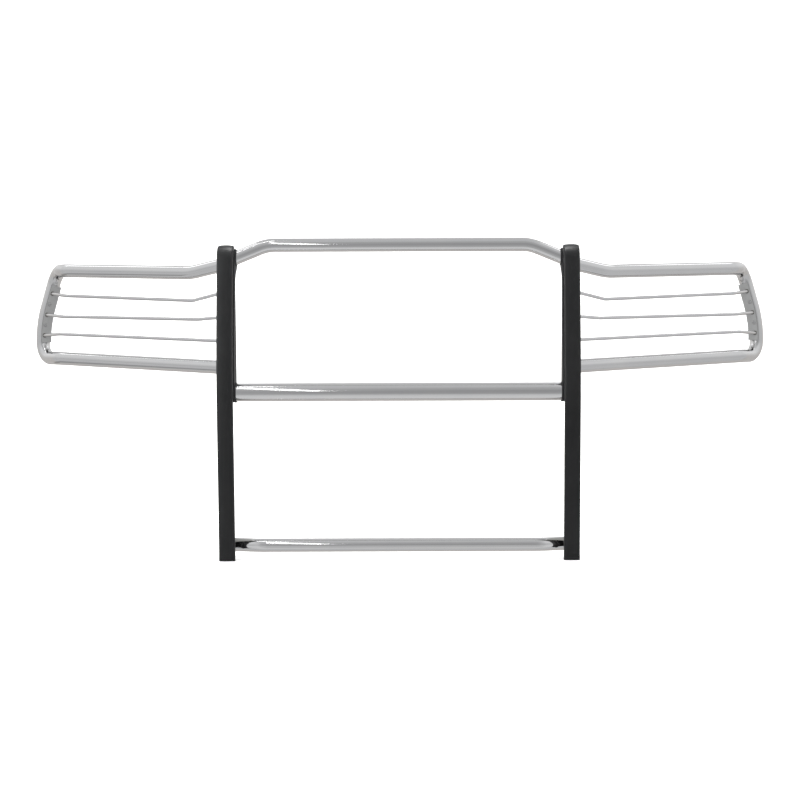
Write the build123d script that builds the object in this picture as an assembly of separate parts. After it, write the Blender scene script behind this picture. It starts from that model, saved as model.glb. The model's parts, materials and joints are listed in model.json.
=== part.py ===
from build123d import *
import os
from math import atan2, cos, degrees, radians, sin, tan

# Front grille guard. X runs across the vehicle, Y to the rear and Z up, in millimetres.
# Everything is laid out with the front of the rubber strips at Y = 0 and the cut bottoms of the
# uprights at Z = 0, and is moved at the end so that the origin is the bottom centre of the box.

# Swept pieces start this far below the ground and are cut off level with it
UNDERGROUND_Z = -30.0

# Uprights, seen from the side: two straight legs that lean back from a wide knee, and a curled top
RISER_X = 475.0
KNEE_Z = 534.0
KNEE_RADIUS = 1500.0
LOWER_LEAN = 5.5
UPPER_LEAN = 4.0
TOP_Z = 871.0
CURL_RADIUS = 38.0
CURL_LIP = 6.0

# Rubber strip and the folded steel behind it
PAD_WIDTH = 44.0
PAD_FRONT = 8.0
PAD_DEPTH = 16.0
PAD_CROWN = 100.0
PAD_CORNER = 4.5
STEEL = 3.0
CHANNEL_WIDTH = 39.0
CHANNEL_DEPTH = 24.0
FOLD_RADIUS = 4.0
FLANGE_DEPTH = 78.0
FLANGE_TOP_Z = 795.0

# Plates
PLATE = 6.35
INNER_PLATE_FRONT = 17.0
INNER_PLATE_BOTTOM_Z = 437.0
EAR_Z = 861.0
EAR_REAR = 92.0
EAR_BOTTOM_Z = 812.0
WAIST_Z = 782.0
WAIST_DEPTH = 34.0
MID_FLARE_Z = 500.0
MID_FLARE_DEPTH = 77.0
INNER_PLATE_FOOT_CORNER = 10.0
# Corner radii round its rear edge, from the curled top down
INNER_PLATE_CORNERS = [1, 10, 14, 42, 200, 0]
MOUNT_PLATE_FRONT = 28.0
MOUNT_PLATE_REAR = 158.0
MOUNT_PLATE_Z = (8.0, 262.0)
MOUNT_PLATE_CORNER = 12.0
MOUNT_HOLE_RADIUS = 6.75
MOUNT_HOLE_DEPTH = 115.0
MOUNT_HOLE_Z = 180.0
MOUNT_SPACING_Y = 50.0
MOUNT_SPACING_Z = 100.0
DRILL_LENGTH = 60.0

# Tubes and rods
TUBE_RADIUS = 19.05
TUBE_WALL = 1.65
MID_TUBE_RADIUS = 25.4
MID_TUBE_WALL = 2.1
ROD_RADIUS = 4.75
TUBE_DEPTH = 45.0
TOP_TUBE_Z = 871.0
TOP_BEND_X = 364.0
TOP_BEND_RADIUS = 115.0
TOP_TUBE_SLOPE = 0.41
MID_TUBE_Z = 464.6
BOTTOM_TUBE_Z = 40.5
BOTTOM_TUBE_DEPTH = 38.0
BOTTOM_BEND_X = 391.0
BOTTOM_BEND_RADIUS = 115.0
BOTTOM_END_ANGLE = 21.0
# Extra length at the root of each wing member, cut away at the outer flange
ROOT_LENGTH = 25.0

# Headlight wings: swept back, then wrapped further back at the end
END_Y = 275.0
WING_SLOPE_END = (578, 797.6)
WING_TOP_START_Z = 814.6
WING_BOTTOM_START_Z = 534.2
WRAP_TOP = (962, 208, 815.4)
CORNER_TOP = (995.5, END_Y, 820.0)
END_KNEE = (1038, END_Y, 665.0)
CORNER_BOTTOM = (1036, END_Y, 568.0)
WRAP_BOTTOM = (975, 212, 565.0)
END_KNEE_RADIUS = 360.0
CORNER_RADIUS = 46.0
WRAP_RADIUS = 52.0
SLOPE_RADIUS = 150.0

# Strap on the end tube, and the two screws that hold it
STRAP_WIDTH = 28.5
STRAP_THICKNESS = 3.0
STRAP_EDGE_RADIUS = 0.8
STRAP_Z = (612.0, 779.0)
STRAP_TURN = 66.0
# Its middle stands this far inboard of the line where it touches the tube
STRAP_SHIFT = 5.8
STRAP_GAP = 0.3
SCREW_Z = (664.0, 725.0)
SCREW_RADIUS = 3.0
SCREW_HEAD_RADIUS = 5.5
SCREW_HEAD_HEIGHT = 3.3
SCREW_HEAD_ROUNDING = 2.3
SCREW_LENGTH = 14.0
SCREW_HOLE_RADIUS = 3.2
# The drilled hole begins outside the strap and passes through the tube's near wall
SCREW_HOLE_START = -5.0
SCREW_HOLE_LENGTH = 15.0
SCREW_SEAT = 0.06
SOCKET_SIZE = 4.0
SOCKET_DEPTH = 2.0

# Rods: name, height at the upright, point of the first bend, point of the wrap, height at the strap
RODS = [
    ("upper", 737.0, (571.6, 719.6), (954.0, 743.4), 755.7),
    ("middle", 670.8, (557.0, 667.0), (965.0, 684.1), 694.1),
    ("lower", 606.3, None, (972.0, 634.1), 633.2),
]
ROD_WRAP_Y = 206.0
ROD_BEND_RADIUS = 40.0
ROD_WRAP_RADIUS = 30.0

# Studs moulded into the rubber strip, and their nuts
STUD_Z = (100.0, 255.0, 410.0, 600.0, 775.0)
STUD_RADIUS = 3.0
STUD_HEAD_RADIUS = 7.0
STUD_HEAD_DEPTH = (4.0, 6.0)
STUD_END_DEPTH = 22.0
STUD_HOLE_RADIUS = 3.25
NUT_SIZE = 10.0
NUT_HEIGHT = 6.0
NUT_FLANGE_RADIUS = 7.0
NUT_FLANGE_HEIGHT = 1.5
NUT_BORE_RADIUS = 3.1
NUT_SEAT = 0.05

# The knee's front-most point is at Y = 0, so the point where the two legs would meet is in front
half_turn = radians((LOWER_LEAN + UPPER_LEAN) / 2)
skew = radians((LOWER_LEAN - UPPER_LEAN) / 2)
knee_y = KNEE_RADIUS * (1 - cos(skew) / cos(half_turn))
flange_x = RISER_X + CHANNEL_WIDTH / 2
inner_face_x = RISER_X - CHANNEL_WIDTH / 2 - PLATE
mount_face_x = flange_x - STEEL - PLATE
rear_y = END_Y + TUBE_RADIUS
end_high_lean = degrees(atan2(END_KNEE[0] - CORNER_TOP[0], CORNER_TOP[2] - END_KNEE[2]))
end_low_lean = degrees(atan2(CORNER_BOTTOM[0] - END_KNEE[0], END_KNEE[2] - CORNER_BOTTOM[2]))


def bend_reach(radius, low_lean, high_lean):
    """How far a rounded knee reaches along each of its two straight legs."""
    return radius * tan(radians(high_lean - low_lean) / 2)


def bend_lean(z, knee_z, radius, low_lean, high_lean):
    """Lean in degrees, at height z, of a line whose two straight legs meet in a rounded knee."""
    reach = bend_reach(radius, low_lean, high_lean)
    share = min(1.0, max(0.0, (z - knee_z + reach) / (2 * reach)))
    return low_lean + (high_lean - low_lean) * share


def bend_sag(z, knee_z, radius, low_lean, high_lean):
    """How far, at height z, the rounded knee stands inside the two straight legs."""
    short = max(0.0, bend_reach(radius, low_lean, high_lean) - abs(z - knee_z))
    return short**2 / (2 * radius)


def riser_y(z, depth):
    """Y of the upright's straight leg at height z, at a depth behind the front face."""
    if z >= KNEE_Z:
        lean = radians(UPPER_LEAN)
    else:
        lean = radians(LOWER_LEAN)
    return knee_y + depth / cos(lean) + abs(z - KNEE_Z) * tan(lean)


def knee_point(depth):
    upper = radians(UPPER_LEAN)
    lower = radians(LOWER_LEAN)
    rise = depth * (1 / cos(lower) - 1 / cos(upper)) / (tan(upper) + tan(lower))
    return (0, knee_y + depth / cos(upper) + rise * tan(upper), KNEE_Z + rise)


def leg_line(depth, bottom_z, top_z):
    """The upright's side line without the curl, at a depth behind the front face."""
    points = [(0, riser_y(bottom_z, depth), bottom_z), knee_point(depth), (0, riser_y(top_z, depth), top_z)]
    return FilletPolyline(points, radius=[KNEE_RADIUS - depth])


def curl_line(depth, bottom_z):
    """The upright's side line with its curled top, at a depth behind the front face."""
    corner_z = TOP_Z - depth
    corner_y = riser_y(corner_z, depth)
    start_y = riser_y(TOP_Z, 0)
    end_y = start_y + CURL_RADIUS + CURL_LIP
    points = [
        (0, riser_y(bottom_z, depth), bottom_z),
        knee_point(depth),
        (0, corner_y, corner_z),
        (0, end_y, corner_z),
    ]
    return FilletPolyline(points, radius=[KNEE_RADIUS - depth, CURL_RADIUS - depth])


def above_ground(part):
    return split(part, bisect_by=Plane.XY, keep=Keep.TOP)


def side_face(*lines):
    return make_face([edge for line in lines for edge in line.edges()])


def across(face, x_from, x_to):
    """A flat plate from a face in the YZ plane, between two X positions."""
    return Pos(x_from, 0, 0) * extrude(face, amount=x_to - x_from, dir=(1, 0, 0))


def section_plane(path):
    return Plane(origin=path @ 0, z_dir=path % 0, x_dir=(1, 0, 0))


def swept_section(sketch):
    path = Pos(RISER_X, 0, 0) * curl_line(0, UNDERGROUND_Z)
    return above_ground(sweep(section_plane(path) * sketch, path=path))


def band(width, front, back, corner):
    """A rectangle across the upright, between two depths, with rounded front corners."""
    face = Pos(0, (front + back) / 2) * Rectangle(width, back - front)
    corners = face.vertices().group_by(Axis.Y)[0]
    return fillet(corners, corner)


def pad_section():
    crown = Pos(0, PAD_CROWN) * Circle(PAD_CROWN)
    block = Pos(0, PAD_DEPTH / 2) * Rectangle(PAD_WIDTH, PAD_DEPTH)
    outer = block & crown
    outer = fillet(outer.vertices().group_by(Axis.Y)[0], PAD_CORNER)
    return outer - band(CHANNEL_WIDTH, PAD_FRONT, PAD_DEPTH + 1, FOLD_RADIUS)


def channel_section():
    outer = band(CHANNEL_WIDTH, PAD_FRONT, CHANNEL_DEPTH, FOLD_RADIUS)
    inside = PAD_FRONT + STEEL
    return outer - band(CHANNEL_WIDTH - 2 * STEEL, inside, CHANNEL_DEPTH + 1, FOLD_RADIUS - STEEL)


def riser_centre_y(z, depth):
    """Y of the upright itself at height z, with its knee rounded."""
    return riser_y(z, depth) + bend_sag(z, KNEE_Z, KNEE_RADIUS, -LOWER_LEAN, UPPER_LEAN)


def front_plane(z):
    """A plane square to the upright's front face at height z, facing the rear."""
    lean = radians(bend_lean(z, KNEE_Z, KNEE_RADIUS, -LOWER_LEAN, UPPER_LEAN))
    point = (RISER_X, riser_centre_y(z, 0), z)
    return Plane(origin=point, x_dir=(1, 0, 0), z_dir=(0, cos(lean), -sin(lean)))


def pad_stud(z):
    head_from, head_to = STUD_HEAD_DEPTH
    head = Circle(STUD_HEAD_RADIUS)
    shank = Circle(STUD_RADIUS)
    return front_plane(z) * (
        Pos(0, 0, head_from) * extrude(head, head_to - head_from)
        + Pos(0, 0, head_from) * extrude(shank, STUD_END_DEPTH - head_from)
    )


def pad_nut(z):
    body = extrude(RegularPolygon(NUT_SIZE / 2, 6, major_radius=False), NUT_HEIGHT)
    flange = extrude(Circle(NUT_FLANGE_RADIUS), NUT_FLANGE_HEIGHT)
    bore = extrude(Circle(NUT_BORE_RADIUS), NUT_HEIGHT)
    return front_plane(z) * Pos(0, 0, PAD_FRONT + STEEL + NUT_SEAT) * (body + flange - bore)


def stud_hole(z):
    return front_plane(z) * Pos(0, 0, PAD_FRONT - 1) * extrude(Circle(STUD_HOLE_RADIUS), STEEL + 2)


def riser_pad():
    pad = swept_section(pad_section())
    for z in STUD_Z:
        pad -= pad_stud(z)
    return pad


def outer_flange():
    front = curl_line(PAD_FRONT + FOLD_RADIUS, UNDERGROUND_Z)
    rear = leg_line(FLANGE_DEPTH, UNDERGROUND_Z, FLANGE_TOP_Z)
    face = side_face(front, rear, Line(front @ 1, rear @ 1), Line(front @ 0, rear @ 0))
    return above_ground(across(face, flange_x - STEEL, flange_x))


def mount_holes(radius, length):
    y = riser_y(MOUNT_HOLE_Z, MOUNT_HOLE_DEPTH)
    plane = Plane(origin=(flange_x + length / 2, y, MOUNT_HOLE_Z), x_dir=(0, 1, 0), z_dir=(-1, 0, 0))
    spots = GridLocations(MOUNT_SPACING_Y, MOUNT_SPACING_Z, 2, 2)
    return [plane * spot * extrude(Circle(radius), length) for spot in spots]


def riser():
    upright = swept_section(channel_section()) + outer_flange()
    for z in STUD_Z:
        upright -= stud_hole(z)
    return upright


def inner_plate():
    """The plate on the upright's inner side: wide behind the top and mid tubes, narrow between."""
    front = curl_line(INNER_PLATE_FRONT, 0)
    start = front @ 1
    end = front @ 0
    foot_y = riser_y(KNEE_Z, MID_FLARE_DEPTH)
    outline = [
        start,
        (0, start.Y, EAR_Z),
        (0, EAR_REAR, EAR_Z),
        (0, EAR_REAR, EAR_BOTTOM_Z),
        (0, riser_y(WAIST_Z, WAIST_DEPTH), WAIST_Z),
        (0, foot_y, MID_FLARE_Z),
        (0, foot_y, 0),
        end,
    ]
    rear = FilletPolyline(outline, radius=INNER_PLATE_CORNERS)
    plate = across(side_face(front, rear), inner_face_x, inner_face_x + PLATE)
    plate = split(plate, bisect_by=Plane.XY.offset(INNER_PLATE_BOTTOM_Z), keep=Keep.TOP)
    foot_edges = plate.edges().filter_by(Axis.X).group_by(Axis.Z)[0]
    return fillet(foot_edges.sort_by(Axis.Y)[-1], INNER_PLATE_FOOT_CORNER)


def mount_plate():
    low, high = MOUNT_PLATE_Z
    corners = [
        (0, riser_y(low, MOUNT_PLATE_FRONT), low),
        (0, riser_y(high, MOUNT_PLATE_FRONT), high),
        (0, riser_y(high, MOUNT_PLATE_REAR), high),
        (0, riser_y(low, MOUNT_PLATE_REAR), low),
    ]
    face = fillet(make_face(Polyline(corners, close=True)).vertices(), MOUNT_PLATE_CORNER)
    plate = across(face, mount_face_x, mount_face_x + PLATE)
    for hole in mount_holes(MOUNT_HOLE_RADIUS, DRILL_LENGTH):
        plate -= hole
    return plate


def tube(points, radii, radius, wall):
    """A round tube of one bent length; a wall of 0 makes a solid rod."""
    path = FilletPolyline(points, radius=radii) if radii else Line(*points)
    section = Circle(radius)
    if wall:
        section -= Circle(radius - wall)
    return sweep(Plane(origin=path @ 0, z_dir=path % 0) * section, path=path)


def outside(part, x):
    return split(part, bisect_by=Plane.YZ.offset(x), keep=Keep.TOP)


def inside(part, x):
    middle = split(part, bisect_by=Plane.YZ.offset(x), keep=Keep.BOTTOM)
    return split(middle, bisect_by=Plane.YZ.offset(-x), keep=Keep.TOP)


def top_tube():
    y = riser_y(TOP_TUBE_Z, TUBE_DEPTH)
    end_x = RISER_X
    end_z = TOP_TUBE_Z - (end_x - TOP_BEND_X) * TOP_TUBE_SLOPE
    points = [
        (-end_x, y, end_z),
        (-TOP_BEND_X, y, TOP_TUBE_Z),
        (TOP_BEND_X, y, TOP_TUBE_Z),
        (end_x, y, end_z),
    ]
    bent = tube(points, [TOP_BEND_RADIUS, TOP_BEND_RADIUS], TUBE_RADIUS, TUBE_WALL)
    return inside(bent, inner_face_x)


def mid_tube():
    y = riser_centre_y(MID_TUBE_Z, TUBE_DEPTH)
    points = [(-inner_face_x, y, MID_TUBE_Z), (inner_face_x, y, MID_TUBE_Z)]
    return tube(points, None, MID_TUBE_RADIUS, MID_TUBE_WALL)


def bottom_tube():
    """Its ends bend to the rear behind the uprights and meet the mount plates."""
    y = riser_y(BOTTOM_TUBE_Z, BOTTOM_TUBE_DEPTH)
    end_x = flange_x
    end_y = y + (end_x - BOTTOM_BEND_X) * tan(radians(BOTTOM_END_ANGLE))
    points = [
        (-end_x, end_y, BOTTOM_TUBE_Z),
        (-BOTTOM_BEND_X, y, BOTTOM_TUBE_Z),
        (BOTTOM_BEND_X, y, BOTTOM_TUBE_Z),
        (end_x, end_y, BOTTOM_TUBE_Z),
    ]
    bent = tube(points, [BOTTOM_BEND_RADIUS, BOTTOM_BEND_RADIUS], TUBE_RADIUS, TUBE_WALL)
    return inside(bent, mount_face_x)


def from_flange(z, next_point):
    """The point inside the upright from which a member leaves it at height z."""
    start = Vector(flange_x, riser_centre_y(z, TUBE_DEPTH), z)
    return start - (Vector(next_point) - start).normalized() * ROOT_LENGTH


def on_sweep(x, z, wrap):
    """A point at x on the straight run, seen in plan, from the upright to the wrap."""
    start_y = riser_centre_y(z, TUBE_DEPTH)
    return (x, start_y + (wrap[1] - start_y) * (x - flange_x) / (wrap[0] - flange_x), z)


def wing_hoop():
    slope_end = on_sweep(*WING_SLOPE_END, WRAP_TOP)
    points = [
        from_flange(WING_TOP_START_Z, slope_end),
        slope_end,
        WRAP_TOP,
        CORNER_TOP,
        END_KNEE,
        CORNER_BOTTOM,
        WRAP_BOTTOM,
        from_flange(WING_BOTTOM_START_Z, WRAP_BOTTOM),
    ]
    radii = [SLOPE_RADIUS, WRAP_RADIUS, CORNER_RADIUS, END_KNEE_RADIUS, CORNER_RADIUS, WRAP_RADIUS]
    hoop = outside(tube(points, radii, TUBE_RADIUS, TUBE_WALL), flange_x)
    for z in SCREW_Z:
        hoop -= screw_hole(z)
    return hoop


def end_lean(z):
    return bend_lean(z, END_KNEE[2], END_KNEE_RADIUS, end_low_lean, end_high_lean)


def end_centre(z):
    """The end tube's centre at height z."""
    lean = end_high_lean if z >= END_KNEE[2] else end_low_lean
    sag = bend_sag(z, END_KNEE[2], END_KNEE_RADIUS, end_low_lean, end_high_lean)
    return Vector(END_KNEE[0] - (z - END_KNEE[2]) * tan(radians(lean)) - sag, END_Y, z)


def strap_normal(lean):
    """The strap's outward direction: square to the end tube, turned to the front of inboard."""
    turn = radians(STRAP_TURN)
    inboard = cos(turn)
    return Vector(-inboard * cos(radians(lean)), -sin(turn), -inboard * sin(radians(lean)))


def strap_point(z, distance):
    """A point at a distance from the end tube's centre, out through the strap."""
    return end_centre(z) + strap_normal(end_lean(z)) * distance


def strap_edgeward(lean):
    """The direction across the strap's face, square to the end tube, to the front and outboard."""
    turn = radians(STRAP_TURN)
    outboard = sin(turn)
    return Vector(outboard * cos(radians(lean)), -cos(turn), outboard * sin(radians(lean)))


def rod_strap():
    low, high = STRAP_Z
    distance = TUBE_RADIUS + STRAP_GAP + STRAP_THICKNESS / 2
    turn = radians(STRAP_TURN)
    inboard = distance * cos(turn) + STRAP_SHIFT * sin(turn)
    forward = distance * sin(turn) - STRAP_SHIFT * cos(turn)
    middle_lean = radians(end_high_lean + end_low_lean) / 2
    knee_step = inboard / cos(radians(end_high_lean - end_low_lean) / 2)
    points = [
        strap_point(high, distance) - strap_edgeward(end_lean(high)) * STRAP_SHIFT,
        Vector(END_KNEE) - Vector(knee_step * cos(middle_lean), forward, knee_step * sin(middle_lean)),
        strap_point(low, distance) - strap_edgeward(end_lean(low)) * STRAP_SHIFT,
    ]
    path = FilletPolyline(points, radius=[END_KNEE_RADIUS - inboard])
    section = fillet(Rectangle(STRAP_THICKNESS, STRAP_WIDTH).vertices(), STRAP_EDGE_RADIUS)
    plane = Plane(origin=path @ 0, z_dir=path % 0, x_dir=strap_normal(end_high_lean))
    strap = sweep(plane * section, path=path)
    for z in SCREW_Z:
        strap -= screw_hole(z)
    return strap


def screw_plane(z):
    """A plane on the strap's front face at height z, facing into the end tube."""
    face = TUBE_RADIUS + STRAP_GAP + STRAP_THICKNESS + SCREW_SEAT
    return Plane(origin=strap_point(z, face), x_dir=(0, 0, 1), z_dir=strap_normal(end_lean(z)) * -1)


def screw_hole(z):
    drilled = extrude(Circle(SCREW_HOLE_RADIUS), SCREW_HOLE_LENGTH)
    return screw_plane(z) * Pos(0, 0, SCREW_HOLE_START) * drilled


def strap_screw(z):
    head = Pos(0, 0, -SCREW_HEAD_HEIGHT) * extrude(Circle(SCREW_HEAD_RADIUS), SCREW_HEAD_HEIGHT)
    head = fillet(head.edges().group_by(Axis.Z)[0], SCREW_HEAD_ROUNDING)
    shank = extrude(Circle(SCREW_RADIUS), SCREW_LENGTH)
    socket = RegularPolygon(SOCKET_SIZE / 2, 6, major_radius=False)
    recess = Pos(0, 0, -SCREW_HEAD_HEIGHT) * extrude(socket, SOCKET_DEPTH)
    return screw_plane(z) * (head + shank - recess)


def wing_rod(start_z, first_bend, wrap, end_z, strap):
    wrap_point = (wrap[0], ROD_WRAP_Y, wrap[1])
    points = []
    radii = []
    if first_bend:
        points.append(on_sweep(*first_bend, wrap_point))
        radii.append(ROD_BEND_RADIUS)
    points.append(wrap_point)
    radii.append(ROD_WRAP_RADIUS)
    points.insert(0, from_flange(start_z, points[0]))
    points.append(strap_point(end_z, TUBE_RADIUS + STRAP_GAP + STRAP_THICKNESS / 2))
    rod = outside(tube(points, radii, ROD_RADIUS, 0), flange_x) - strap
    return rod.solids().sort_by(SortBy.VOLUME)[-1]


def right_side():
    """Every piece that has a twin on the other side, by name."""
    strap = rod_strap()
    pieces = {
        "riser": riser(),
        "riser_pad": riser_pad(),
        "pad_studs": Compound(children=[pad_stud(z) for z in STUD_Z]),
        "pad_nuts": Compound(children=[pad_nut(z) for z in STUD_Z]),
        "inner_plate": inner_plate(),
        "mount_plate": mount_plate(),
        "wing_hoop": wing_hoop(),
        "rod_strap": strap,
        "strap_screws": Compound(children=[strap_screw(z) for z in SCREW_Z]),
    }
    for name, start_z, first_bend, wrap, end_z in RODS:
        pieces["wing_rod_" + name] = wing_rod(start_z, first_bend, wrap, end_z, strap)
    return pieces


def export(part, name):
    export_step(Pos(0, -rear_y / 2, 0) * part, "parts/" + name + ".step")


os.makedirs("parts", exist_ok=True)
export(top_tube(), "top_tube")
export(mid_tube(), "mid_tube")
export(bottom_tube(), "bottom_tube")
for name, piece in right_side().items():
    export(piece, name + "_right")
    export(mirror(piece, about=Plane.YZ), name + "_left")
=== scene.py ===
import json
import math

import bmesh
import bpy
from mathutils import Matrix, Vector


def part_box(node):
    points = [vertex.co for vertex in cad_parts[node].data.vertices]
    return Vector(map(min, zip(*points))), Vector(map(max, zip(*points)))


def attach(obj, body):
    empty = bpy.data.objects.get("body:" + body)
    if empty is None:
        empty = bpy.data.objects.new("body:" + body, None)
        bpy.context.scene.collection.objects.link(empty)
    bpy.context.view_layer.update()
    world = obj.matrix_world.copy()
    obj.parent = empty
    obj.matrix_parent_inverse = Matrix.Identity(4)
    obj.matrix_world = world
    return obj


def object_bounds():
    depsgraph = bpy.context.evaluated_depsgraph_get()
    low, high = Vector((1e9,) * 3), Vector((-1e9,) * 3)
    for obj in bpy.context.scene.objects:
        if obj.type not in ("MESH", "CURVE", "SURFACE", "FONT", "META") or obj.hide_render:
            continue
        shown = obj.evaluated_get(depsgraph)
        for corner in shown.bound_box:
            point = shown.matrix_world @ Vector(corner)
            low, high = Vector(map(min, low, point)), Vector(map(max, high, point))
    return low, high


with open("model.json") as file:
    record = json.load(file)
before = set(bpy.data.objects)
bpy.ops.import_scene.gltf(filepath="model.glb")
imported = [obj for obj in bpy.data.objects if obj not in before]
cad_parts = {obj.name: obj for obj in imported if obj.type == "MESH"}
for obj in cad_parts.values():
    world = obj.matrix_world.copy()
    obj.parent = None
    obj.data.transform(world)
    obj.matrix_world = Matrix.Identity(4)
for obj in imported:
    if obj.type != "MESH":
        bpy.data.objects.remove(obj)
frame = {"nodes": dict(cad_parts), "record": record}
cad_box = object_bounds()
nodes = frame["nodes"]
# The guard's two sides as seen from in front, with the sign of their X
SIDES = (("left", -1), ("right", 1))
# The way the straps' broad faces look, to the front and a little inboard: outboard, then along Y
STRAP_FACING = (-0.407, -0.914)

# ---------------------------------------------------------------- camera

# The camera stands in front of the guard, level with its middle and a little to the right.
# The frame's centre and width are measured at the guard's front.
CAMERA_DISTANCE = 4.0
CAMERA_X = 0.06
CAMERA_Z = 0.442
CAMERA_ROLL = math.radians(0.2)
CAMERA_REACH = 100.0
FRAME_CENTRE_X = 0.0035
FRAME_WIDTH = 2.176
SENSOR = 36.0


def add_camera():
    data = bpy.data.cameras.new("camera")
    data.sensor_width = SENSOR
    data.lens = SENSOR * CAMERA_DISTANCE / FRAME_WIDTH
    data.shift_x = (FRAME_CENTRE_X - CAMERA_X) / FRAME_WIDTH
    data.clip_end = CAMERA_REACH
    camera = bpy.data.objects.new("camera", data)
    front_y = cad_box[0].y
    camera.location = (CAMERA_X, front_y - CAMERA_DISTANCE, CAMERA_Z)
    camera.rotation_euler = (math.pi / 2, CAMERA_ROLL, 0)
    bpy.context.scene.collection.objects.link(camera)
    bpy.context.scene.camera = camera


# ---------------------------------------------------------------- shader helpers


class Graph:
    """A short way to write shader nodes."""

    def __init__(self, tree):
        self.tree = tree

    def add(self, kind, **values):
        """A new node; a value goes to the node's property of that name, or else to its input."""
        node = self.tree.nodes.new(kind)
        for key, value in values.items():
            if hasattr(node, key):
                setattr(node, key, value)
            else:
                node.inputs[key.replace("_", " ")].default_value = value
        return node

    def link(self, source, target):
        self.tree.links.new(source, target)

    def give(self, socket, value):
        """Feed a socket from another node, or set a plain number or colour on it."""
        if isinstance(value, bpy.types.NodeSocket):
            self.link(value, socket)
        elif isinstance(value, tuple):
            socket.default_value = (*value, 1)
        else:
            socket.default_value = value

    def maths(self, operation, *inputs):
        node = self.add("ShaderNodeMath", operation=operation)
        for socket, value in zip(node.inputs, inputs):
            self.give(socket, value)
        return node.outputs["Value"]

    def split(self, vector):
        """The X, Y and Z of a vector."""
        node = self.add("ShaderNodeSeparateXYZ")
        self.link(vector, node.inputs["Vector"])
        return [node.outputs[axis] for axis in "XYZ"]

    def range(self, value, low, high, new_low=0.0, new_high=1.0, curve="LINEAR"):
        """The value with low to high stretched to new_low to new_high, and held at the ends."""
        node = self.add("ShaderNodeMapRange", interpolation_type=curve)
        ends = {"From Min": low, "From Max": high, "To Min": new_low, "To Max": new_high}
        for key, number in ends.items():
            node.inputs[key].default_value = number
        self.link(value, node.inputs["Value"])
        return node.outputs["Result"]

    def smooth(self, value, low, high, new_low=0.0, new_high=1.0):
        return self.range(value, low, high, new_low, new_high, "SMOOTHSTEP")

    def noise(self, where, scale, detail=4.0, roughness=0.5):
        node = self.add("ShaderNodeTexNoise", Scale=scale, Detail=detail, Roughness=roughness)
        self.link(where, node.inputs["Vector"])
        return node.outputs["Fac"]

    def mix(self, factor, first, second, kind="MIX"):
        node = self.add("ShaderNodeMix", data_type="RGBA", blend_type=kind)
        for key, value in (("Factor", factor), ("A", first), ("B", second)):
            self.give(node.inputs[key], value)
        return node.outputs["Result"]

    def ramp(self, value, stops):
        """Greys by value: each stop is its place, its grey and how warm it is."""
        node = self.add("ShaderNodeValToRGB")
        node.color_ramp.interpolation = "EASE"
        for _ in stops[2:]:
            node.color_ramp.elements.new(0.5)
        for element, (place, grey, warmth) in zip(node.color_ramp.elements, stops):
            element.position = place
            element.color = (grey * (1 + warmth), grey, grey * (1 - warmth), 1)
        self.link(value, node.inputs["Fac"])
        return node.outputs["Color"]


class Material(Graph):
    """A material with one Principled shader, whose sockets are filled by name."""

    # Most of a noise's values lie between these two
    NOISE_LOW = 0.3
    NOISE_HIGH = 0.7

    def __init__(self, name):
        self.made = bpy.data.materials.new(name)
        self.made.use_nodes = True
        super().__init__(self.made.node_tree)
        self.shader = self.tree.nodes["Principled BSDF"]

    def set(self, **values):
        for key, value in values.items():
            self.shader.inputs[key.replace("_", " ")].default_value = value

    def place(self, scale=(1, 1, 1)):
        """Object coordinates, in metres, stretched by scale."""
        mapping = self.add("ShaderNodeMapping", Scale=scale)
        self.link(self.add("ShaderNodeTexCoord").outputs["Object"], mapping.inputs["Vector"])
        return mapping.outputs["Vector"]

    def colour(self, value):
        self.link(value, self.shader.inputs["Base Color"])

    def roughness(self, noise, low, high):
        rough = self.range(noise, self.NOISE_LOW, self.NOISE_HIGH, low, high)
        self.link(rough, self.shader.inputs["Roughness"])

    def bump(self, height, strength, distance):
        node = self.add("ShaderNodeBump", Strength=strength, Distance=distance)
        self.link(height, node.inputs["Height"])
        self.link(node.outputs["Normal"], self.shader.inputs["Normal"])


# ---------------------------------------------------------------- materials

# How much rougher than its base value a brushed or plain metal is at its roughest
METAL_SPREAD = 0.12
# How squarely a face of a strap looks along STRAP_FACING: an edge up to the first, broad from the second
EDGE_BROADNESS = 0.75
FACE_BROADNESS = 0.92


def polished_steel():
    m = Material("polished_steel")
    m.set(Metallic=1.0)
    cloud = m.noise(m.place(), scale=9.0, detail=5.0, roughness=0.6)
    m.colour(m.mix(cloud, (0.61, 0.61, 0.62), (0.67, 0.665, 0.66)))
    streaks = m.noise(m.place((6, 60, 60)), scale=18.0, detail=6.0, roughness=0.7)
    m.roughness(streaks, low=0.05, high=0.12)
    m.bump(streaks, strength=0.04, distance=0.0002)
    return m.made


def rubber():
    m = Material("rubber")
    m.set(Specular_IOR_Level=0.20, Sheen_Weight=0.05, Sheen_Roughness=0.28)
    cloud = m.noise(m.place(), scale=14.0, detail=5.0, roughness=0.6)
    m.colour(m.mix(cloud, (0.0033, 0.0035, 0.0038), (0.0072, 0.0074, 0.0078)))
    m.roughness(cloud, low=0.42, high=0.52)
    grain = m.noise(m.place(), scale=900.0, detail=3.0, roughness=0.6)
    m.bump(grain, strength=0.22, distance=0.0003)
    return m.made


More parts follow.
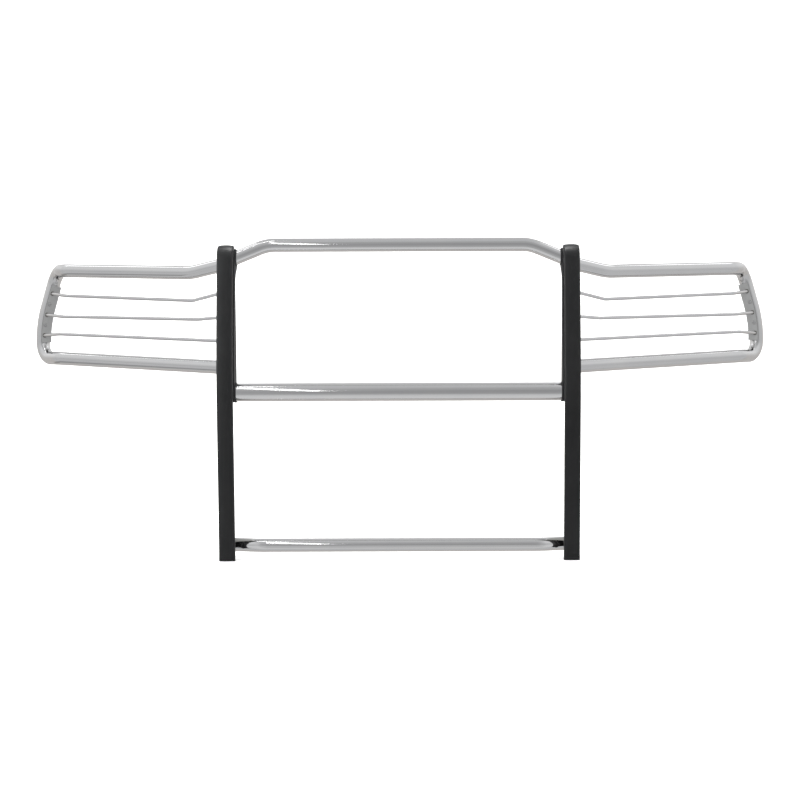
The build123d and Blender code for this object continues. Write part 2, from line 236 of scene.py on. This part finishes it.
def brushed_bar(name, dark, light, edge_shade, rough):
    """Brushed flat bar for the straps; its cut edges get a dark colour, painted shade for the shadowed gap
    between strap and tube.
    """
    m = Material(name)
    m.set(Metallic=1.0)
    grain = m.noise(m.place((700, 700, 30)), scale=1.0, detail=4.0, roughness=0.6)
    normal_x, normal_y, _ = m.split(m.add("ShaderNodeNewGeometry").outputs["Normal"])
    place_x, _, _ = m.split(m.place())
    outboard = m.maths("MULTIPLY", normal_x, m.maths("SIGN", place_x))
    frontward = m.maths("MULTIPLY", normal_y, STRAP_FACING[1])
    broadness = m.maths("ABSOLUTE", m.maths("MULTIPLY_ADD", outboard, STRAP_FACING[0], frontward))
    # Faces that don't look along STRAP_FACING, the cut edges, take the edge shade colour: painted shade
    # for the gap between strap and tube
    m.colour(m.mix(m.range(broadness, EDGE_BROADNESS, FACE_BROADNESS), edge_shade, m.mix(grain, dark, light)))
    m.roughness(grain, rough, rough + METAL_SPREAD)
    m.bump(grain, strength=0.15, distance=0.0002)
    return m.made


def powder_coat():
    m = Material("powder_coat")
    m.set(Specular_IOR_Level=0.22)
    cloud = m.noise(m.place(), scale=20.0)
    m.colour(m.mix(cloud, (0.010, 0.010, 0.011), (0.018, 0.018, 0.019)))
    m.roughness(cloud, low=0.48, high=0.56)
    grain = m.noise(m.place(), scale=420.0, detail=2.0)
    m.bump(grain, strength=0.3, distance=0.0003)
    return m.made


def plain_steel(name, dark, light, rough):
    m = Material(name)
    m.set(Metallic=1.0)
    cloud = m.noise(m.place(), scale=160.0)
    m.colour(m.mix(cloud, dark, light))
    m.roughness(cloud, rough, rough + METAL_SPREAD)
    return m.made


# By the record's slots, but for the last, which is for the welds at the straps and is painted shade: dark
# where the rods meet the straps
materials = {
    "polished_tube": polished_steel(),
    "polished_rod": polished_steel(),
    "black_steel": powder_coat(),
    "rubber": rubber(),
    "zinc_fastener": plain_steel("zinc", (0.50, 0.50, 0.47), (0.62, 0.62, 0.58), 0.3),
    "zinc_plate": plain_steel("zinc_plate", (0.46, 0.46, 0.44), (0.58, 0.58, 0.55), 0.36),
    "bright_screw": plain_steel("screw_steel", (0.40, 0.40, 0.40), (0.52, 0.52, 0.52), 0.22),
    # The last grey is painted shade on the straps' cut edges
    "brushed_steel": brushed_bar(
        "brushed_steel", (0.50, 0.50, 0.50), (0.62, 0.62, 0.61), (0.06, 0.06, 0.06), 0.38
    ),
    # The welds at the straps are dark grey: painted shade for the gap where the rods meet the straps
    "weld_shade": plain_steel("shaded_weld_steel", (0.16, 0.15, 0.14), (0.30, 0.29, 0.27), 0.40),
}


def dress_cad_nodes():
    for part in frame["record"]["subparts"]:
        node = nodes[part["node"]]
        node.data.materials.clear()
        node.data.materials.append(materials[part["material_slot"]])


def smooth_object(name, shape, material):
    """An object in the scene, shaded smooth, from a finished bmesh."""
    mesh = bpy.data.meshes.new(name)
    shape.to_mesh(mesh)
    shape.free()
    mesh.polygons.foreach_set("use_smooth", [True] * len(mesh.polygons))
    mesh.materials.append(material)
    made = bpy.data.objects.new(name, mesh)
    bpy.context.scene.collection.objects.link(made)
    return made


# ---------------------------------------------------------------- weld beads

TUBE_BEAD = 0.0029
ROD_BEAD = 0.0016
BEAD_SIDES = 10
# As shares of a bead's size: how far its middle stands off the corner, its radius between ripples,
# what a ripple adds to that, and a ripple's length
BEAD_OFFSET = 0.12
BEAD_RADIUS = 0.86
RIPPLE_RISE = 0.16
RIPPLE_LENGTH = 0.95
RIPPLE_STEPS = 6
FEWEST_RIPPLES = 10
# An end face counts if the cosine between its normal and the direction asked for is at least this,
# and its middle is this near in X: for ends square to a plate, then for ends cut to a strap
SQUARE_CUT = 0.999
PLATE_GAP = 0.0008
STRAP_CUT = 0.95
STRAP_GAP = 0.02
# Corners are matched to the micrometre. Outlines with no more points than this are slivers, and
# outlines with middles this close are a tube's rim and its bore.
MATCH_DIGITS = 6
SLIVER_POINTS = 8
SAME_MIDDLE = 0.005
RODS = ("wing_rod_upper", "wing_rod_middle", "wing_rod_lower")


def boundary_links(mesh, polygons):
    """For each corner on the outline of a set of polygons, its neighbours along the outline."""
    uses = {}
    for polygon in polygons:
        points = [mesh.vertices[index].co for index in polygon.vertices]
        corners = [tuple(round(number, MATCH_DIGITS) for number in point) for point in points]
        for pair in zip(corners, corners[1:] + corners[:1]):
            key = tuple(sorted(pair))
            uses[key] = uses.get(key, 0) + 1
    links = {}
    for (first, second), count in uses.items():
        if count == 1 and first != second:
            links.setdefault(first, []).append(second)
            links.setdefault(second, []).append(first)
    return links


def flat_rims(node, facing, close, x, gap):
    """Outlines of the node's flat end faces near x that look along a direction."""
    mesh = nodes[node].data
    facing = Vector(facing).normalized()
    ends = [
        polygon for polygon in mesh.polygons
        if polygon.normal.dot(facing) >= close and x - gap <= polygon.center.x <= x + gap
    ]
    links = boundary_links(mesh, ends)
    rims = []
    while links:
        point = next(iter(links))
        rim = []
        while point is not None:
            rim.append(Vector(point))
            onward = [other for other in links.pop(point) if other in links]
            point = onward[0] if onward else None
        if len(rim) > SLIVER_POINTS:
            rims.append(rim)
    return rims


def rim_length(rim):
    return sum((b - a).length for a, b in zip(rim, rim[1:] + rim[:1]))


def outer_rims(rims):
    """Each rim with its centre, longest first, without the bores inside other rims."""
    kept = []
    for rim in sorted(rims, key=rim_length, reverse=True):
        centre = sum(rim, Vector()) / len(rim)
        if all((centre - other).length > SAME_MIDDLE for other, _ in kept):
            kept.append((centre, rim))
    return kept


def along_rim(rim, count):
    """Evenly spaced points round a closed rim."""
    step = rim_length(rim) / count
    points = []
    travelled = 0.0
    for a, b in zip(rim, rim[1:] + rim[:1]):
        length = (b - a).length
        while len(points) < count and len(points) * step <= travelled + length:
            points.append(a.lerp(b, (len(points) * step - travelled) / length))
        travelled += length
    return points


def bead_rings(centre, rim, away, size):
    """Rings of a rippled bead that fills the corner round a rim; away points from the plate."""
    ripples = max(FEWEST_RIPPLES, round(rim_length(rim) / (size * RIPPLE_LENGTH)))
    rings = []
    for index, point in enumerate(along_rim(rim, ripples * RIPPLE_STEPS)):
        outward = point - centre
        outward = (outward - outward.dot(away) * away).normalized()
        ripple = index % RIPPLE_STEPS / RIPPLE_STEPS
        radius = size * (BEAD_RADIUS + RIPPLE_RISE * math.sin(math.pi * ripple))
        middle = point + (outward * BEAD_OFFSET + away * BEAD_OFFSET) * size
        ring = []
        for side in range(BEAD_SIDES):
            angle = 2 * math.pi * side / BEAD_SIDES
            ring.append(middle + (outward * math.cos(angle) + away * math.sin(angle)) * radius)
        rings.append(ring)
    return rings


def add_tube(shape, rings):
    """Faces between rings of points that follow each other and close up."""
    rings = [[shape.verts.new(point) for point in ring] for ring in rings]
    for ring, following in zip(rings, rings[1:] + rings[:1]):
        for side in range(BEAD_SIDES):
            after = (side + 1) % BEAD_SIDES
            shape.faces.new((ring[side], ring[after], following[after], following[side]))


def weld_beads(name, joints, size, material):
    """One piece with a bead round each joint: the direction away from the plate, and the rims on it."""
    shape = bmesh.new()
    for away, rims in joints:
        away = Vector(away).normalized()
        for centre, rim in outer_rims(rims):
            add_tube(shape, bead_rings(centre, rim, away, size))
    bmesh.ops.recalc_face_normals(shape, faces=shape.faces)
    piece = smooth_object(name, shape, material)
    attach(piece, "root")


def face_x(box, sign):
    """X of a box's face on the side of that sign."""
    low, high = box
    return high.x if sign > 0 else low.x


def add_weld_beads():
    for side, sign in SIDES:
        outboard = (sign, 0, 0)
        inboard = (-sign, 0, 0)
        flange_x = face_x(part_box(f"riser_{side}"), sign)
        inner_x = face_x(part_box(f"inner_plate_{side}"), -sign)
        mount_x = face_x(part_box(f"mount_plate_{side}"), -sign)
        tubes = [(outboard, flat_rims(f"wing_hoop_{side}", inboard, SQUARE_CUT, flange_x, PLATE_GAP))]
        for tube, x in (("top_tube", inner_x), ("mid_tube", inner_x), ("bottom_tube", mount_x)):
            tubes.append((inboard, flat_rims(tube, outboard, SQUARE_CUT, x, PLATE_GAP)))
        into_strap = Vector((-sign * STRAP_FACING[0], -STRAP_FACING[1], 0))
        roots = []
        ends = []
        for rod in RODS:
            roots.append((outboard, flat_rims(f"{rod}_{side}", inboard, SQUARE_CUT, flange_x, PLATE_GAP)))
            tip_x = face_x(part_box(f"{rod}_{side}"), sign)
            ends.append((-into_strap, flat_rims(f"{rod}_{side}", into_strap, STRAP_CUT, tip_x, STRAP_GAP)))
        coat = materials["black_steel"]
        weld_beads(f"tube_welds_{side}", tubes, TUBE_BEAD, coat)
        weld_beads(f"rod_root_welds_{side}", roots, ROD_BEAD, coat)
        # The rod ends get the dark weld colour, painted shade at the straps
        weld_beads(f"rod_end_welds_{side}", ends, ROD_BEAD, materials["weld_shade"])


# ---------------------------------------------------------------- studio

FLOOR_RADIUS = 7.0
FLOOR_Z = -0.001
WALL_HEIGHT = 7.0
COVE_RADIUS = 2.5
COVE_STEPS = 16
BOWL_STEPS = 96
# The turned bowl's first and last points meet within this
BOWL_SEAM = 0.0005


def studio_bowl():
    """A round studio: a flat floor that curves up into a plain wall."""
    flat = FLOOR_RADIUS - COVE_RADIUS
    profile = [(0.0, 0.0), (flat, 0.0)]
    for step in range(1, COVE_STEPS + 1):
        angle = math.pi / 2 * step / COVE_STEPS
        profile.append((flat + COVE_RADIUS * math.sin(angle), COVE_RADIUS - COVE_RADIUS * math.cos(angle)))
    profile.append((FLOOR_RADIUS, WALL_HEIGHT))
    shape = bmesh.new()
    line = [shape.verts.new((radius, 0, height + FLOOR_Z)) for radius, height in profile]
    edges = [shape.edges.new(pair) for pair in zip(line, line[1:])]
    bmesh.ops.spin(
        shape, geom=line + edges, axis=(0, 0, 1), cent=(0, 0, 0), steps=BOWL_STEPS, angle=2 * math.pi
    )
    bmesh.ops.remove_doubles(shape, verts=shape.verts, dist=BOWL_SEAM)
    paint = Material("studio_paint")
    paint.set(Base_Color=(0.86, 0.86, 0.86, 1), Roughness=0.9, Specular_IOR_Level=0.1)
    paint.set(Emission_Color=(1, 1, 1, 1), Emission_Strength=0.35)
    studio = smooth_object("studio", shape, paint.made)
    # The steel mirrors the room's light instead
    studio.visible_glossy = False


# What the polished steel mirrors, by direction. In front, a dull patch: its middle and half-size,
# then greys from its middle outward. Behind, greys by height.
PATCH_X = 0.1
PATCH_HALF_WIDTH = 0.6
PATCH_HALF_HEIGHT = 0.95
FRONT_GREYS = [(0.2, 0.445, -0.012), (0.65, 0.55, -0.01), (0.95, 0.69, -0.01)]
BACK_GREYS = [(0.3, 0.66, 0.03), (0.5, 0.70, 0.02), (0.7, 0.80, 0.0), (0.95, 0.74, -0.01)]
# Front turns to back between these two values of Y
FRONT_Y = -0.15
BACK_Y = 0.15
# Each of these grows from nothing to its full strength between its pairs of values
GLOW_X = (0.25, 0.6)
GLOW_Z = (0.0, 0.55)
GLOW_TINT = (1, 1, 1)
GLOW_STRENGTH = 0.22
SEAM_X = (-0.565, -0.61)
SEAM_TOP = (-0.5, -0.66)
SEAM_FOOT = (-0.84, -0.72)
SEAM_TINT = (0.3, 0.3, 0.3)
SEAM_STRENGTH = 0.6
MOTTLE_NOISE = (0.45, 0.75)
MOTTLE_TINT = (0.7, 0.7, 0.7)
MOTTLE_STRENGTH = 0.35


def room_light():
    """A pale room: dull in front of the guard, brighter behind it and up to either side."""
    world = bpy.data.worlds.new("room")
    world.use_nodes = True
    room = Graph(world.node_tree)
    direction = room.add("ShaderNodeTexCoord").outputs["Generated"]
    x, y, z = room.split(direction)
    across = room.maths("DIVIDE", room.maths("SUBTRACT", x, PATCH_X), PATCH_HALF_WIDTH)
    upward = room.maths("DIVIDE", z, PATCH_HALF_HEIGHT)
    squares = room.maths("ADD", room.maths("POWER", across, 2), room.maths("POWER", upward, 2))
    front = room.ramp(room.maths("SQRT", squares), FRONT_GREYS)
    back = room.ramp(room.maths("MULTIPLY_ADD", z, 0.5, 0.5), BACK_GREYS)
    colour = room.mix(room.smooth(y, FRONT_Y, BACK_Y), front, back)
    # Brighter up to either side
    aside = room.smooth(room.maths("ABSOLUTE", x), *GLOW_X)
    glow = room.maths("MULTIPLY", aside, room.smooth(z, *GLOW_Z, 0.0, GLOW_STRENGTH))
    colour = room.mix(glow, colour, GLOW_TINT, "ADD")
    # A dark seam low on the left
    seam = room.maths("MULTIPLY", room.smooth(x, *SEAM_X), room.smooth(z, *SEAM_TOP))
    seam = room.maths("MULTIPLY", seam, room.smooth(z, *SEAM_FOOT))
    colour = room.mix(room.maths("MULTIPLY", seam, SEAM_STRENGTH), colour, SEAM_TINT, "MULTIPLY")
    # Mottled, so that no band along a tube is even
    cloud = room.noise(direction, scale=4.0, detail=3.0)
    mottle = room.smooth(cloud, *MOTTLE_NOISE, 0.0, MOTTLE_STRENGTH)
    colour = room.mix(mottle, colour, MOTTLE_TINT, "MULTIPLY")
    room.link(colour, room.tree.nodes["Background"].inputs["Color"])
    bpy.context.scene.world = world


# Lights are long rectangles: name, the two ends of the middle line, width, watts, point they face
GUARD = (0, 0, 0.5)
# These light the room and aren't mirrored
ROOM_LIGHTS = (
    ("overhead", (-1.8, -0.6, 4.2), (1.8, -0.6, 4.2), 2.4, 120, GUARD),
    ("back_wash", (-3.0, 1.5, 4.6), (3.0, 1.5, 4.6), 1.6, 260, (0, 6.5, 1.2)),
)
# These make the streaks along the tubes
STREAK_LIGHTS = (
    ("strip_left", (-0.42, -3.0, 1.1), (-0.85, -2.0, 3.3), 0.06, 3.5, GUARD),
    ("over_left", (-0.64, -1.0, 3.4), (-1.8, -1.0, 3.4), 0.12, 3, GUARD),
    ("high_left", (-1.75, 0.7, 3.8), (-3.0, 0.7, 3.8), 1.0, 4.7, GUARD),
    ("high_right", (1.75, 0.7, 3.8), (2.6, 0.7, 3.8), 1.0, 3, GUARD),
)
# The pale floor close in front, as the steel mirrors it
NEAR_FLOOR = ("near_floor", (-0.7, -0.5, 0.002), (0.7, -0.5, 0.002), 0.8, 0.55, (0, -0.5, 5))
# Softboxes that only the rubber strips pick up, along their rims and curled tops
STRIP_LIGHTS = (
    ("rim_left", (-2.9, -2.2, 0.2), (-2.9, -2.2, 2.2), 0.8, 110, GUARD),
    ("rim_right", (3.2, -1.4, 0.2), (3.2, -1.4, 2.2), 0.5, 60, GUARD),
    ("rim_top", (-0.7, -0.3, 3.5), (0.7, -0.3, 3.5), 0.6, 130, GUARD),
)


def add_light(name, low, high, width, watts, target):
    """One light, as the lists above describe it, that the camera doesn't see."""
    low = Vector(low)
    high = Vector(high)
    middle = (low + high) / 2
    along = (high - low).normalized()
    facing = Vector(target) - middle
    facing = (facing - facing.dot(along) * along).normalized()
    data = bpy.data.lights.new(name, "AREA")
    data.shape = "RECTANGLE"
    data.size = width
    data.size_y = (high - low).length
    data.energy = watts
    light = bpy.data.objects.new(name, data)
    turn = Matrix((along.cross(-facing), along, -facing)).transposed()
    light.matrix_world = Matrix.Translation(middle) @ turn.to_4x4()
    bpy.context.scene.collection.objects.link(light)
    light.visible_camera = False
    return light


def add_lights():
    for spec in ROOM_LIGHTS:
        add_light(*spec).visible_glossy = False
    for spec in STREAK_LIGHTS:
        add_light(*spec)
    add_light(*NEAR_FLOOR).visible_diffuse = False
    strips = bpy.data.collections.new("rubber_strips")
    for side, _ in SIDES:
        strips.objects.link(nodes[f"riser_pad_{side}"])
    for spec in STRIP_LIGHTS:
        add_light(*spec).light_linking.receiver_collection = strips


add_camera()
dress_cad_nodes()
add_weld_beads()
studio_bowl()
room_light()
add_lights()
bpy.context.scene.view_settings.view_transform = "Standard"
